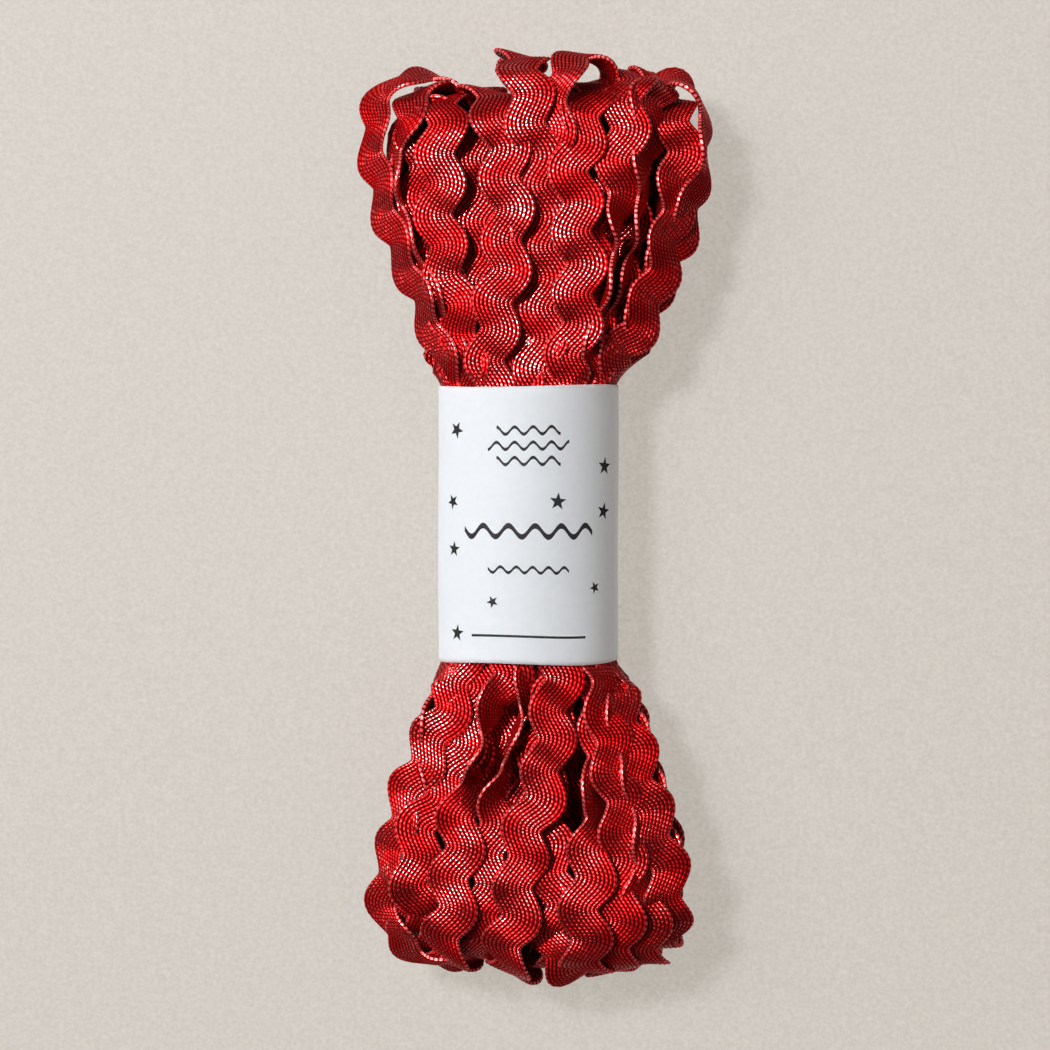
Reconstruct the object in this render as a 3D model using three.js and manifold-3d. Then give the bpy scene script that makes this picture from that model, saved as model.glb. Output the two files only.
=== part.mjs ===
// A hank of ric rac: one long zigzag braid wound into loops, spread into a fan at
// both ends and gathered at its waist by a plain paper band. It lies on its back.
// Millimetres. +X is across the hank, +Y runs from the lower fan to the upper fan,
// +Z is up, and the origin is on the surface that it lies on, under its middle.

import * as THREE from 'three';
import { mergeVertices } from 'three/addons/utils/BufferGeometryUtils.js';
import Module from 'manifold-3d';

// The braid
const BRAID_WIDTH = 6.8;
const BRAID_THICKNESS = 1.3;
const WAVE_LENGTH = 10.2;
const WAVE_SWING = 1.15;
const BENDS_FROM_CREST = [1, -1, -1, 1];

// The paper band and the waist inside it
const BAND_HALF_WIDTH = 15.9;
const BAND_HALF_HEIGHT = 12.4;
const BAND_WALL = 1;
const BAND_TOP = 22.7;
const BAND_BOTTOM = -24.8;
const WAIST_X = -1.6;
const WAIST_Z = 14;
const BAND_SIDES = 56;
const FIT_GAP = 0.35;

// The wound body: sections of the hank's packed heart, one row for each station along
// Y, with its middle, half width and half height.
const HEART_SECTIONS = [
  { y: -71.0, x: -2.4, halfWidth: 12.0, halfHeight: 2.0 },
  { y: -66.0, x: -2.4, halfWidth: 20.0, halfHeight: 6.4 },
  { y: -58.0, x: -2.4, halfWidth: 22.0, halfHeight: 8.6 },
  { y: -44.0, x: -2.2, halfWidth: 17.4, halfHeight: 9.0 },
  { y: -33.0, x: -1.8, halfWidth: 13.6, halfHeight: 9.8 },
  { y: -25.6, x: -1.6, halfWidth: 14.5, halfHeight: 11.0 },
  { y: 23.5, x: -1.6, halfWidth: 14.5, halfHeight: 11.0 },
  { y: 31.0, x: -1.2, halfWidth: 13.8, halfHeight: 9.8 },
  { y: 44.0, x: -0.4, halfWidth: 18.6, halfHeight: 9.0 },
  { y: 58.0, x: -0.2, halfWidth: 22.6, halfHeight: 8.4 },
  { y: 66.0, x: -0.2, halfWidth: 19.0, halfHeight: 5.6 },
  { y: 69.5, x: -0.2, halfWidth: 12.0, halfHeight: 2.0 },
];
const HEART_SIDES = 18;

// The fans. A loop has two legs, a and b, that leave the waist and meet in a round
// cap. For each leg: waist is how far from the waist's middle it leaves the paper,
// belly is its x where the cap begins, bow is how far it swings out between, and lift
// is its height, from 1 on the front face to -1 on the underside. tipX and tipY are
// the end of the cap, face turns the braid from standing on edge, 0, to lying flat, 1,
// and crest is the y where leg a has one of its swings to the right.
const LOOP_COLUMNS = [
  'aWaist', 'aBelly', 'aBow', 'aLift', 'bWaist', 'bBelly', 'bBow', 'bLift', 'tipX', 'tipY', 'face', 'crest',
];
const UPPER_LOOPS = withColumns(LOOP_COLUMNS, [
  [ -14.6,    -28,   1.6,  0.44,    -8,    -12,    0,    0.2,  -19.5,   76.6,  0.45,   32.3],
  [   -14,    -24,  -0.6,  0.12,   -12,    -18,    0,   -0.8,  -21.5,   72.5,   0.4,     52],
  [    -8,  -15.6,  -2.6,   0.9,   -11,    -14,   -1,  -0.98,  -15.2,   74.6,  0.05,   60.7],
  [  -6.4,     -5,   0.6,  1.02,    -6,     -8,    0,  -1.06,   -6.6,   74.8,     0,     47],
  [   1.6,    0.4,   0.4,   0.9,    -1,     -2,    0,  -1.06,   -2.8,     80,     0,     60],
  [     1,      4,   0.5,   0.7,     8,   12.6,    0,    0.2,    8.4,     79,  0.25,     55],
  [   5.2,    6.8,   1.2,  1.02,   3.5,    4.6,    0,  -1.06,    8.9,     75,     0,   47.8],
  [  10.2,   14.4,   0.8,  0.86,     8,   11.4,    1,  -0.98,   16.2,   77.2,   0.1,   59.5],
  [  13.4,     22,     1,  0.24,  11.4,     18,    1,   -0.8,     22,     71,   0.5,     50],
  [  13.4,   27.4,  -2.4,   0.5,     8,     17,    0,    0.3,   23.2,   75.8,  0.45,     47],
]);
const LOWER_LOOPS = withColumns(LOOP_COLUMNS, [
  [   -10,  -26.4,   1.6,  0.62,    -7,     -8,    0,    0.2,    -16,    -77,  0.55,  -48.2],
  [   -14,  -23.4,  -1.5,  -0.1,   -12,    -17,    0,  -0.84,    -21,    -74,   0.3,    -44],
  [  -8.6,  -18.6,  -0.4,  0.74,    -8,    -11,    0,  -1.04,    -16,    -75,  0.15,  -53.7],
  [    -3,  -13.2,  -0.6,  0.94,    -4,     -5,    0,  -1.06,  -11.4,  -78.6,   0.1,    -55],
  [   4.6,   -4.6,   2.4,  1.02,     4,      6,    0,    0.6,    0.4,  -78.7,   0.5,  -64.5],
  [   8.6,    7.8,   0.2,   0.9,     2,    1.4,    0,  -1.06,      6,  -79.6,   0.1,    -62],
  [    12,   12.6,   0.8,  0.98,     8,    8.4,    0,  -1.05,   12.6,  -79.2,  0.05,    -43],
  [    13,   17.4,   0.2,   0.5,    11,     15,    0,  -0.92,   18.6,  -78.4,   0.1,    -50],
  [    14,   22.4,  -1.2,  0.36,    13,   20.6,  0.6,   -0.5,   23.6,  -74.4,  0.35,  -44.2],
]);
// Half heights of the legs' middle line where they leave the paper and where the caps
// begin, how far a cap reaches beyond its legs, and how far the legs run in under the
// paper before they are cut off there.
const NECK_HALF_HEIGHT = 10.2;
const BELLY_HALF_HEIGHT = 13.6;
const CAP_REACH = 15;
const TUCK = 3;
const ROOM_RADIUS = 40;
const LEG_STEPS = 12;
const CAP_STEPS = 14;

// Each row of a table as an object keyed by the names of the columns.
function withColumns(columns, rows) {
  return rows.map((row) => Object.fromEntries(columns.map((column, i) => [column, row[i]])));
}

const wasm = await Module();
wasm.setup();

// A closed mesh as a solid that can be joined and cut.
function solidOf(geometry) {
  geometry.deleteAttribute('normal');
  geometry.deleteAttribute('uv');
  const merged = mergeVertices(geometry, 1e-4);
  return new wasm.Manifold(new wasm.Mesh({
    numProp: 3,
    vertProperties: merged.attributes.position.array,
    triVerts: new Uint32Array(merged.index.array),
  }));
}

// A solid back as a three.js geometry.
function geometryOf(solid) {
  const mesh = solid.getMesh();
  const positions = new Float32Array(mesh.numVert * 3);
  for (let i = 0; i < mesh.numVert; i++) {
    positions.set(mesh.vertProperties.subarray(i * mesh.numProp, i * mesh.numProp + 3), i * 3);
  }
  const geometry = new THREE.BufferGeometry()
    .setAttribute('position', new THREE.BufferAttribute(positions, 3))
    .setIndex(new THREE.BufferAttribute(mesh.triVerts, 1));
  geometry.computeVertexNormals();
  return geometry;
}

// A skin over rings of points, each ring with as many points, closed at both ends.
function skin(rings) {
  const sides = rings[0].length;
  const points = [...rings.flat(), centroid(rings[0]), centroid(rings.at(-1))];
  const first = rings.length * sides;
  const index = [];
  for (let r = 0; r + 1 < rings.length; r++) {
    for (let i = 0; i < sides; i++) {
      const a = r * sides + i;
      const b = r * sides + (i + 1) % sides;
      index.push(a, b, a + sides, b, b + sides, a + sides);
    }
  }
  for (let i = 0; i < sides; i++) {
    const last = (rings.length - 1) * sides;
    index.push(first, (i + 1) % sides, i, first + 1, last + i, last + (i + 1) % sides);
  }
  const geometry = new THREE.BufferGeometry().setFromPoints(points);
  geometry.setIndex(index);
  return geometry;
}

function centroid(ring) {
  return ring.reduce((sum, p) => sum.add(p), new THREE.Vector3()).divideScalar(ring.length);
}

// The heart of the hank, lofted through its sections.
function heartSolid() {
  const rings = HEART_SECTIONS.map(({ y, x, halfWidth, halfHeight }) =>
    Array.from({ length: HEART_SIDES }, (_, i) => {
      const angle = (-2 * Math.PI * i) / HEART_SIDES;
      const z = WAIST_Z + halfHeight * Math.sin(angle);
      return new THREE.Vector3(x + halfWidth * Math.cos(angle), y, z);
    }));
  return solidOf(skin(rings));
}

// How far a leg has opened from the waist, 0, to the belly, 1: fast at first.
const opening = (s) => 1 - (1 - s) ** 1.5;

// The share of the neck's half height that its oval leaves so far from the middle.
function neckShare(waist) {
  const share = 1 - (waist / (BAND_HALF_WIDTH - BAND_WALL)) ** 2;
  return Math.min(1, 1.3 * Math.sqrt(Math.max(0.05, share)));
}

// One leg of a loop, from the band's edge to where its cap begins.
function legPoints(startY, endY, waist, belly, bow, lift) {
  const { lerp } = THREE.MathUtils;
  const neckZ = lift * NECK_HALF_HEIGHT * neckShare(waist);
  return Array.from({ length: LEG_STEPS }, (_, i) => {
    const s = i / LEG_STEPS;
    const x = lerp(WAIST_X + waist, belly, opening(s)) + bow * Math.sin(Math.PI * s);
    const z = WAIST_Z + lerp(neckZ, lift * BELLY_HALF_HEIGHT, opening(s));
    return new THREE.Vector3(x, lerp(startY, endY, s), z);
  });
}

// The whole line of a loop with the way that the braid faces at each point.
function loopLine(loop) {
  const way = Math.sign(loop.tipY);
  const startY = way > 0 ? BAND_TOP - TUCK : BAND_BOTTOM + TUCK;
  const capY = loop.tipY - way * CAP_REACH;
  const a = legPoints(startY, capY, loop.aWaist, loop.aBelly, loop.aBow, loop.aLift);
  const b = legPoints(startY, capY, loop.bWaist, loop.bBelly, loop.bBow, loop.bLift);
  const aEnd = new THREE.Vector3(loop.aBelly, capY, WAIST_Z + loop.aLift * BELLY_HALF_HEIGHT);
  const bEnd = new THREE.Vector3(loop.bBelly, capY, WAIST_Z + loop.bLift * BELLY_HALF_HEIGHT);
  const middle = aEnd.clone().add(bEnd).divideScalar(2);
  const chord = aEnd.clone().sub(bEnd).divideScalar(2);
  const across = chord.clone().normalize();
  const up = new THREE.Vector3(0, 0, 1);
  const facing = (angle) => {
    const flat = loop.face * (1 - 0.4 * Math.sin(angle));
    const out = across.clone().multiplyScalar(Math.cos(angle));
    out.y += way * Math.sin(angle);
    return out.multiplyScalar(1 - flat).addScaledVector(up, flat).normalize();
  };
  const legFacing = (p, s, lift, angle) => {
    const round = new THREE.Vector3(0.5 * (p.x - WAIST_X) / BAND_HALF_WIDTH, 0, lift).normalize();
    return round.lerp(facing(angle), THREE.MathUtils.smoothstep(s, 0.35, 1)).normalize();
  };
  const line = [];
  a.forEach((p, i) => line.push({ p, n: legFacing(p, i / LEG_STEPS, loop.aLift, 0) }));
  for (let i = 0; i <= CAP_STEPS; i++) {
    const angle = (Math.PI * i) / CAP_STEPS;
    const p = middle.clone().addScaledVector(chord, Math.cos(angle));
    p.x += (loop.tipX - middle.x) * Math.sin(angle);
    p.y += way * CAP_REACH * Math.sin(angle);
    line.push({ p, n: facing(angle) });
  }
  b.map((p, i) => ({ p, n: legFacing(p, i / LEG_STEPS, loop.bLift, Math.PI) }))
    .reverse()
    .forEach((station) => line.push(station));
  return line;
}

// The line again, with a station at each bend of the wave, set out from the crest.
// The braid underneath bends only at its crests and troughs, and where it comes down to
// the surface it lies flat.
function atBends(line, crest) {
  const curve = new THREE.CatmullRomCurve3(line.map(({ p }) => p), false, 'centripetal');
  const facings = new THREE.CatmullRomCurve3(line.map(({ n }) => n));
  const length = curve.getLength();
  const bends = BENDS_FROM_CREST.length;
  const step = WAVE_LENGTH / bends;
  let crestAlong = 0;
  while (Math.abs(curve.getPointAt(crestAlong / length).y) < Math.abs(crest)) crestAlong += step / 8;
  const stations = [];
  const firstBend = Math.ceil(-crestAlong / step - 0.5);
  const lastBend = Math.floor((length - crestAlong) / step - 0.5);
  for (let bend = firstBend; bend <= lastBend; bend++) {
    const u = curve.getUtoTmapping((crestAlong + (bend + 0.5) * step) / length);
    const p = curve.getPoint(u);
    const t = curve.getTangent(u);
    const n = facings.getPoint(u).normalize();
    if (n.z < 0 && bend % 2 !== 0) continue;
    if (p.z < BRAID_THICKNESS / 2) {
      p.z = BRAID_THICKNESS / 2;
      t.setZ(0).normalize();
      n.set(0, 0, -1);
    }
    const swing = WAVE_SWING * BENDS_FROM_CREST[((bend % bends) + bends) % bends];
    stations.push({ p, t, n, swing });
  }
  return stations;
}

// The braid itself along a loop: a flat strip that swings from side to side.
function braidSolid(loop) {
  const rings = atBends(loopLine(loop), loop.crest).map(({ p, t, n, swing }) => {
    const side = new THREE.Vector3().crossVectors(t, n).normalize();
    const normal = new THREE.Vector3().crossVectors(side, t).normalize();
    const corner = (across, through) => {
      const q = p.clone()
        .addScaledVector(side, swing + (across * BRAID_WIDTH) / 2)
        .addScaledVector(normal, (through * BRAID_THICKNESS) / 2);
      q.z = Math.max(0, q.z);
      return q;
    };
    return [corner(-1, 1), corner(1, 1), corner(1, -1), corner(-1, -1)];
  });
  return solidOf(skin(rings));
}

// An oval outline around the waist's middle.
function oval(halfWidth, halfHeight) {
  return Array.from({ length: BAND_SIDES }, (_, i) => {
    const angle = (2 * Math.PI * i) / BAND_SIDES;
    return new THREE.Vector2(halfWidth * Math.cos(angle), halfHeight * Math.sin(angle));
  });
}

// An outline drawn out along the hank between two heights on Y.
function alongHank(outline, fromY, toY) {
  const geometry = new THREE.ExtrudeGeometry(outline, { depth: toY - fromY, bevelEnabled: false });
  return geometry.rotateX(Math.PI / 2).translate(WAIST_X, toY, WAIST_Z);
}

// The paper band: a sleeve around the waist.
function bandGeometry() {
  const outline = new THREE.Shape(oval(BAND_HALF_WIDTH, BAND_HALF_HEIGHT));
  const inside = oval(BAND_HALF_WIDTH - BAND_WALL, BAND_HALF_HEIGHT - BAND_WALL);
  outline.holes.push(new THREE.Path(inside.reverse()));
  return alongHank(outline, BAND_BOTTOM, BAND_TOP);
}

// Every loop, cut off where it meets the paper, then joined into one body by the heart
// that runs through the band from fan to fan.
function hankGeometry() {
  const wide = new THREE.Shape(oval(ROOM_RADIUS, ROOM_RADIUS));
  const room = solidOf(alongHank(wide, BAND_BOTTOM - FIT_GAP, BAND_TOP + FIT_GAP));
  const fans = [...UPPER_LOOPS, ...LOWER_LOOPS].map((loop) => braidSolid(loop).subtract(room));
  return geometryOf(fans.reduce((joined, fan) => joined.add(fan), heartSolid()));
}

function named(name, geometry, material) {
  const mesh = new THREE.Mesh(geometry, material);
  mesh.name = name;
  return mesh;
}

const braidRed = new THREE.MeshStandardMaterial({ color: 0xa8141c, roughness: 0.42, metalness: 0.35 });
const paperWhite = new THREE.MeshStandardMaterial({ color: 0xf2f4f6, roughness: 0.75, metalness: 0 });

const part = new THREE.Group();
part.add(named('hank', hankGeometry(), braidRed));
part.add(named('paper_band', bandGeometry(), paperWhite));

export default part;
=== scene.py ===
# %% [markdown]
# # A hank of ric rac
# Ric rac is a flat braid whose threads pull it into an even zigzag. For sale, a long length
# of it is wound into loops, and a band of paper grips the loops at their waist, so both ends
# spring out into fans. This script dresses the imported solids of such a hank: it sweeps a
# braid along every loop, wraps a thin paper band round the waist, and lights the result.

# %% Load the frame
import math

import bpy
import numpy as np
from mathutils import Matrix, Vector


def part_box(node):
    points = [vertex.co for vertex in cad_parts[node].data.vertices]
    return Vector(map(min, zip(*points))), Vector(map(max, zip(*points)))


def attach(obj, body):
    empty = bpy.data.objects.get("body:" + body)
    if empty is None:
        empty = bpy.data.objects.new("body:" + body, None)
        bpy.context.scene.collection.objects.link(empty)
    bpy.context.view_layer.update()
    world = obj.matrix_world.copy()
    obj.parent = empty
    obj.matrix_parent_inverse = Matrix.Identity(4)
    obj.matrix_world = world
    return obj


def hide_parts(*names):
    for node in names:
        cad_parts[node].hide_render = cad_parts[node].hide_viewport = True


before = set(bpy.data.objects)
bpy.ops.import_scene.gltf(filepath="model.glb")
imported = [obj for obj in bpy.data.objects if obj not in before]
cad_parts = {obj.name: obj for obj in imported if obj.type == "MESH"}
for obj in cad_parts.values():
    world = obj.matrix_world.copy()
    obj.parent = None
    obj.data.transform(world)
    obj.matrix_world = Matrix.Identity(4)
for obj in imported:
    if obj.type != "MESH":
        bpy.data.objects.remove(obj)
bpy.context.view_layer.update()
MM = 0.001

# %% [markdown]
# ## The waist
# Everything is laid out from the paper band, because it shapes the hank: its box gives the
# middle of the waist, the oval that the braid is squeezed into, and the two edges where the
# fans begin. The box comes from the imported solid, so the looks and the solid can't drift apart.

# %% Measure the waist
band_low, band_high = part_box("paper_band")
WAIST_X = (band_low.x + band_high.x) / 2
WAIST_Z = (band_low.z + band_high.z) / 2
BAND_HALF_WIDTH = (band_high.x - band_low.x) / 2
BAND_HALF_HEIGHT = (band_high.z - band_low.z) / 2
BAND_TOP = band_high.y
BAND_BOTTOM = band_low.y
PAPER = 0.25 * MM
BRAID_WIDTH = 7.2 * MM
BRAID_THICKNESS = 1.0 * MM
THREADS = 10
WAVE_LENGTH = 10.3 * MM
print("band half width and height, mm:", round(BAND_HALF_WIDTH / MM, 2), round(BAND_HALF_HEIGHT / MM, 2))

# %% [markdown]
# ## The loops as a table
# A loop leaves the waist on one leg, turns over in a round cap and comes back on the other.
# *Tip* is the end of the cap. *Back* is the leg behind: its x where the cap ends and where it
# goes under the paper, and its height, from 1 on the front face to -1 underneath. *Face* turns
# the cap from standing on edge, 0, to lying flat, 1, and *crest* is the y where the zigzag of
# the front leg swings to the right. The *front* leg is the one that shows, so it comes point by
# point: x and y in mm, then the layer it lies in, counted down from the top of the fan, and how
# many degrees it leans to the right.

# %% Name the loops
PARTS = ("tip", "back", "face", "crest", "front")


def loop_table(rows):
    """Loops with their parts named, from rows that list them in that order."""
    return [dict(zip(PARTS, row)) for row in rows]


UPPER_LOOPS = loop_table([
    ((-20, 76.8), (-9, -6, 0), 0.42, 32, [
        (-15, 24, 0.9, 0), (-17.4, 30, 0.8, -4), (-20.4, 38, 0.6, -8), (-23.6, 45, 0.6, -12),
        (-26, 53, 0.6, -18), (-27.8, 60, 0.8, -20), (-28.6, 66, 0.9, -16)]),
    ((-18, 75), (-15, -11, -0.72), 0.4, 52, [
        (-13.4, 24, 2, 0), (-17, 35, 1.9, -20), (-21, 45, 1.6, -48), (-23.6, 54, 1.4, -62),
        (-24, 62, 1.2, -58), (-22.4, 68, 1, -30)]),
    ((-15.6, 73.2), (-13, -10, -1.06), 0.05, 61, [
        (-11.8, 24, 0.9, -4), (-12.4, 31, 0.6, -2), (-14.2, 38, 0.1, 4), (-16.4, 46, 0, 5),
        (-17, 54, 0, 0), (-16.2, 61, 0, -4), (-16.2, 66, 0.1, 0)]),
    ((-11, 71), (-11, -8, -0.9), 0.1, 50, [
        (-10, 24, 1.6, 0), (-10.6, 34, 2, 0), (-11, 44, 3, 10), (-10.8, 54, 3.4, 20),
        (-10.6, 62, 3.2, 0)]),
    ((-19.6, 70.6), (-18, -13, -0.9), 0.1, 44, [
        (-12.6, 25, 2.2, 8), (-14, 34, 2, 6), (-18.6, 46, 2.2, 8), (-20.6, 56, 2.2, 0),
        (-20.2, 64, 1.9, 0)]),
    ((-9.8, 74.4), (-8.4, -6, -0.9), 0.05, 47, [
        (-8.2, 24, 0, 8), (-7.8, 31, -0.1, 8), (-6.2, 38, -0.1, 4), (-4.8, 46, 0, -4), (-4.8, 54, 0, 0),
        (-5.4, 61, 0, 4), (-7, 67, 0.2, 0)]),
    ((-1, 72), (-6, -4, -1.06), 0.05, 38, [
        (-3.4, 24, 1.2, -6), (-2.6, 32, 1.6, 10), (-1.8, 42, 2.6, 50), (-1.6, 52, 3, 60),
        (-2, 62, 2.4, 20)]),
    ((-3.2, 80), (-1.6, -1, -0.9), 0.1, 66, [
        (0.4, 24, 0.5, 4), (0.8, 31, 1.1, 0), (0.6, 40, 1.6, 6), (0.4, 50, 1.4, 8), (0, 58, 1, 6),
        (-0.6, 65, 0.3, 4), (-2.4, 72, -0.3, 4)]),
    ((8.6, 79.4), (13.2, 8, 0.25), 0.35, 70, [
        (2.6, 24, 2.2, 0), (2.6, 40, 2.4, 0), (2.6, 55, 2.2, 0), (2.4, 64, 1.4, -6), (3.4, 71, 0.6, -6)]),
    ((9.2, 75.6), (4, 2.5, -1.06), 0.05, 47.8, [
        (4.8, 24, 0, -4), (6, 31, 0, 0), (6.8, 38, 0, 4), (7, 45, 0, 4), (6.2, 53, 0, -4), (6, 60, 0, -4),
        (7.4, 67, 0, 0)]),
    ((12, 72), (9.4, 6, -0.9), 0.1, 28, [
        (9.2, 24, 0.9, 6), (9.8, 30, 1.6, 12), (8.8, 38, 3, 10), (8, 48, 3.4, 0), (8.6, 60, 3, 0)]),
    ((16, 77.6), (13.6, 9, -1), 0.05, 59.5, [
        (8.4, 25, 2, 30), (10.4, 33, 1.8, 62), (12, 40, 1.4, 74), (13.4, 47, 1, 66), (13.8, 53, 0.4, 34),
        (13.6, 58, 0.1, 6), (14.4, 64, 0, -4), (15.2, 70, 0, 0)]),
    ((19.6, 76.8), (17.4, 11, -0.72), 0.1, 50, [
        (10.6, 26, 3, 60), (13.4, 36, 5, 66), (16.2, 46, 4.4, 66), (17.8, 55, 2.2, 60),
        (18.6, 63, 1.2, 40), (18.8, 69, 0.9, 20)]),
    ((21, 73.6), (20, 12, -0.86), 0.1, 47, [
        (12.8, 24, 0.3, 0), (14.4, 29, 0.3, 0), (17.4, 34, 0.2, 0), (19.4, 39, 0.2, 0),
        (21.2, 44, 0.2, 4), (22.8, 50, 0.3, 6), (24, 56, 0.4, 8), (24.2, 62, 0.6, 6),
        (23.2, 67, 0.9, 0)]),
    ((23.4, 76.8), (17, 8, 0.3), 0.42, 63, [
        (13.8, 24, 1.8, 4), (17.2, 33, 1.8, 4), (20.8, 41, 1.6, 4), (24, 48, 1.3, 8), (26.6, 54, 1, 16),
        (28.2, 60, 0.9, 20), (28.8, 67, 0.9, 16)]),
])
LOWER_LOOPS = loop_table([
    ((-15, -78.4), (-5.6, -5, 0), 0.7, -37, [
        (-12.9, -25.5, 0.2, -4), (-14.8, -30.4, 0.1, -4), (-16.3, -35.6, 0, -4), (-19.2, -40.2, 0, -8),
        (-20.8, -44.6, 0.2, -8), (-23, -49, 0.2, -12), (-24.4, -54, 0.4, -16), (-25.4, -59, 0.6, -18),
        (-26.8, -63, 0.8, -16), (-26.2, -67, 0.9, -14)]),
    ((-18.4, -75.4), (-13, -10, -1.06), 0.3, -30, [
        (-17, -27, 2.2, -56), (-18.6, -33, 2.4, -56), (-20.6, -38, 2.6, -50), (-21.6, -46, 2.8, -30),
        (-22, -56, 2.8, 0), (-21.4, -64, 2.4, 8)]),
    ((-19, -74), (-18, -12, -0.86), 0.2, -43.3, [
        (-10, -26, 1.6, 0), (-10.2, -31.3, 1.6, 4), (-12.6, -37.3, 1.6, 4), (-14.8, -42.5, 1.4, 0),
        (-16, -46.8, 1.1, -4), (-18.8, -50.8, 0.4, -4), (-20, -55.4, 0, 0), (-20.8, -59.7, 0.2, 6),
        (-21, -64, 0.5, 10)]),
    ((-16.4, -77), (-15, -9, -0.98), 0.15, -45, [
        (-8, -26, 5.5, 0), (-11, -38, 8.5, 0), (-15, -50, 6.5, 0), (-17.6, -60, 2.8, 0),
        (-17.4, -66, 2.2, 0)]),
    ((-14.6, -78.4), (-8.8, -7, -0.9), 0.15, -50, [
        (-5, -25.5, 0.2, 0), (-6.3, -29.6, 0.6, 20), (-8.6, -34, 1.8, 70), (-10.4, -39, 2.4, 92),
        (-11.4, -44.2, 2.2, 80), (-12.4, -48.5, 1.2, 30), (-13, -53.7, 0.6, 0), (-13.6, -58.8, 0.5, 0),
        (-14.2, -64, 0.5, -4), (-14.4, -69, 0.4, 0)]),
    ((-9.6, -77.8), (-4.4, -3, -1.06), 0.1, -57, [
        (0, -26, 1.6, 10), (-1, -29.6, 2, 50), (-3.6, -34.7, 2.6, 84), (-5.2, -39.9, 2.8, 92),
        (-6.6, -45.1, 2.6, 76), (-7.2, -49.8, 1.8, 34), (-7.4, -54.5, 1.4, 0), (-8.2, -60.5, 1.4, -6),
        (-8.6, -66, 1.2, 0)]),
    ((-3.4, -80), (2, 0, -0.9), 0.1, -62, [
        (3.8, -25.5, 0.3, -4), (3.1, -30.4, 0.1, 0), (2.1, -36.5, 0, 0), (1.7, -41.6, 0, 4),
        (0.3, -46.8, 0, 0), (-1.7, -51.9, 0, -4), (-3.2, -57.1, 0, 0), (-3.1, -62.3, 0, 4),
        (-3.8, -66.6, 0, 0), (-5.2, -71, 0.1, 0)]),
    ((3.4, -79.2), (4.6, 3, -1.06), 0.1, -60, [
        (4.6, -26, 2, 0), (1.6, -35, 2.8, 0), (0.2, -44, 3, 0), (0.6, -52, 2.8, 0), (3.2, -60, 1.4, 0),
        (4.2, -66, 1.2, 0)]),
    ((6.8, -79.6), (13, 8, 0.2), 0.5, -60, [
        (4.6, -26, 4.4, 0), (0, -36, 7, 0), (-2, -46, 7, 0), (-0.6, -56, 4, 0), (1.8, -66, 2, 0)]),
    ((8.2, -79.8), (9, 6, -0.95), 0.05, -56, [
        (9, -26, 1.8, 0), (10.8, -32, 2.2, 0), (11.2, -38.2, 1.6, 0), (10.6, -42.5, 0.8, 4),
        (9.2, -47.1, 1.6, 60), (9.4, -51.6, 1.4, 50), (9.4, -56.2, 0.2, 0), (8.4, -61.4, 0, -4),
        (7.6, -66.6, 0.1, 0), (8, -71.7, 0.2, 0)]),
    ((13.2, -79.8), (13.4, 9, -1.06), 0.05, -42.5, [
        (10.4, -25.5, 0.2, 16), (11.4, -30.4, 0.1, 14), (11.4, -35.6, 0, 10), (12.6, -40.8, 0.1, 8),
        (13.8, -46.8, 0.3, 6), (14.6, -52, 0.5, 4), (14.2, -57, 0.6, 0), (13.6, -62, 0.5, 0),
        (13.8, -68, 0.4, 0)]),
    ((18, -79), (17, 11, -0.8), 0.1, -64, [
        (12.6, -27, 2.4, 10), (14.4, -38, 2.6, 30), (16.6, -50, 2.4, 60), (17.6, -58, 1.8, 56),
        (18.2, -64, 1.4, 20), (18.4, -70, 1, 0)]),
    ((21.4, -76), (19.6, 12, -0.4), 0.35, -44.2, [
        (13, -26.5, 0.9, -6), (14.2, -32.2, 0.8, -8), (16, -38.2, 0.6, -6), (17.4, -44.2, 0.6, -4),
        (18.6, -49.4, 0.5, 0), (20.2, -54.5, 0.5, 4), (21, -59.7, 0.6, 8), (22.4, -64.8, 0.8, 12)]),
])
print("loops that show:", len(UPPER_LOOPS), "above the band and", len(LOWER_LOOPS), "below it")

# %% [markdown]
# ## The loops inside
# Through the gaps between the outer loops the eye meets a little more braid, then darkness.
# Those inner loops needn't be placed one by one. They fill smaller shells of the same fan,
# evenly across it, each a little out of line so that no two zigzags match.

# %% Fill the fans with inner loops
INNER_SHELLS = [
    {"layer": 9.0, "across": 0.66, "loops": 5, "lift": -0.6},
    {"layer": 12.0, "across": 0.45, "loops": 4, "lift": -0.4},
]
FAN_HALF_WIDTH = 25.0
FAN_REACH = 70.0


def inner_loops(way, seed):
    """Loops inside one fan, way 1 for the upper fan and -1 for the lower one."""
    random = np.random.default_rng(seed)
    loops = []
    for shell in INNER_SHELLS:
        for place in np.linspace(-1, 1, shell["loops"]):
            belly = FAN_HALF_WIDTH * shell["across"] * place + random.uniform(-1.2, 1.2)
            waist = 12.5 * shell["across"] * place
            front = [(waist, way * 26, shell["layer"] * 0.6, random.uniform(-20, 20)),
                     ((waist + belly) / 2, way * 40, shell["layer"], random.uniform(-40, 40)),
                     (belly, way * 60, shell["layer"], random.uniform(-20, 20))]
            loops.append({
                "front": front, "tip": (belly + random.uniform(-2, 2), way * (FAN_REACH - 4 * place ** 2)),
                "back": (belly * 0.9, waist, shell["lift"]), "face": 0.1,
                "crest": way * random.uniform(40, 50)})
    return loops


upper_inner = inner_loops(1, seed=11)
lower_inner = inner_loops(-1, seed=12)
print("loops inside each fan:", len(upper_inner))

# %% [markdown]
# ## The loops at the flanks
# Seen from the side, a hank is a stack of strands that stand on edge, from the front face down
# to the surface. Three loops on each side close that flank. They turn back inside the fan, so
# from above they are only dark edges between the outer loops.

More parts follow.
